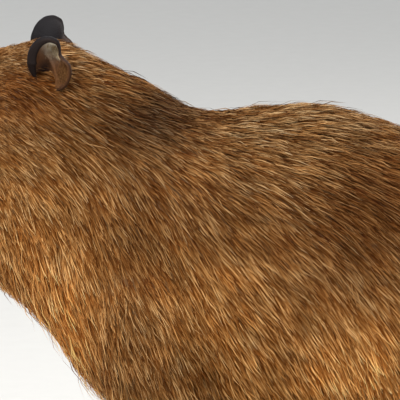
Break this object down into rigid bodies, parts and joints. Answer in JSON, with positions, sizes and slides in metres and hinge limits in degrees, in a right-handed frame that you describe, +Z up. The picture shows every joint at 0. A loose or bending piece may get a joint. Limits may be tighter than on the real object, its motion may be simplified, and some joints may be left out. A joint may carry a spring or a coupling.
{
  "type": "capybara model",
  "caption": "Life-size capybara sitting on its haunches with its front legs straight and its head level, coarse golden brown coat, blunt muzzle and small round ears.",
  "frame": {"origin": "middle of the whole body's box in plan, on the floor it sits on", "axes": "+X from the nose to the rump, +Y towards the animal's right side, +Z up"},
  "size_m": [0.8574, 0.3748, 0.5787],
  "materials": {
    "coat": "coarse brown fur",
    "ear_skin": "thin dark skin",
    "eye": "wet and dark",
    "claw": "dull dark horn"
  },
  "bodies": {
    "root": {"head": "coat", "neck": "coat", "torso": "coat", "eye_left": "eye", "ear_left": "ear_skin", "front_leg_left": "coat", "hind_leg_left": "coat", "claw_front_left_1": "claw", "claw_front_left_2": "claw", "claw_front_left_3": "claw", "claw_front_left_4": "claw", "claw_hind_left_1": "claw", "claw_hind_left_2": "claw", "claw_hind_left_3": "claw", "eye_right": "eye", "ear_right": "ear_skin", "front_leg_right": "coat", "hind_leg_right": "coat", "claw_front_right_1": "claw", "claw_front_right_2": "claw", "claw_front_right_3": "claw", "claw_front_right_4": "claw", "claw_hind_right_1": "claw", "claw_hind_right_2": "claw", "claw_hind_right_3": "claw"}
  },
  "joints": []
}
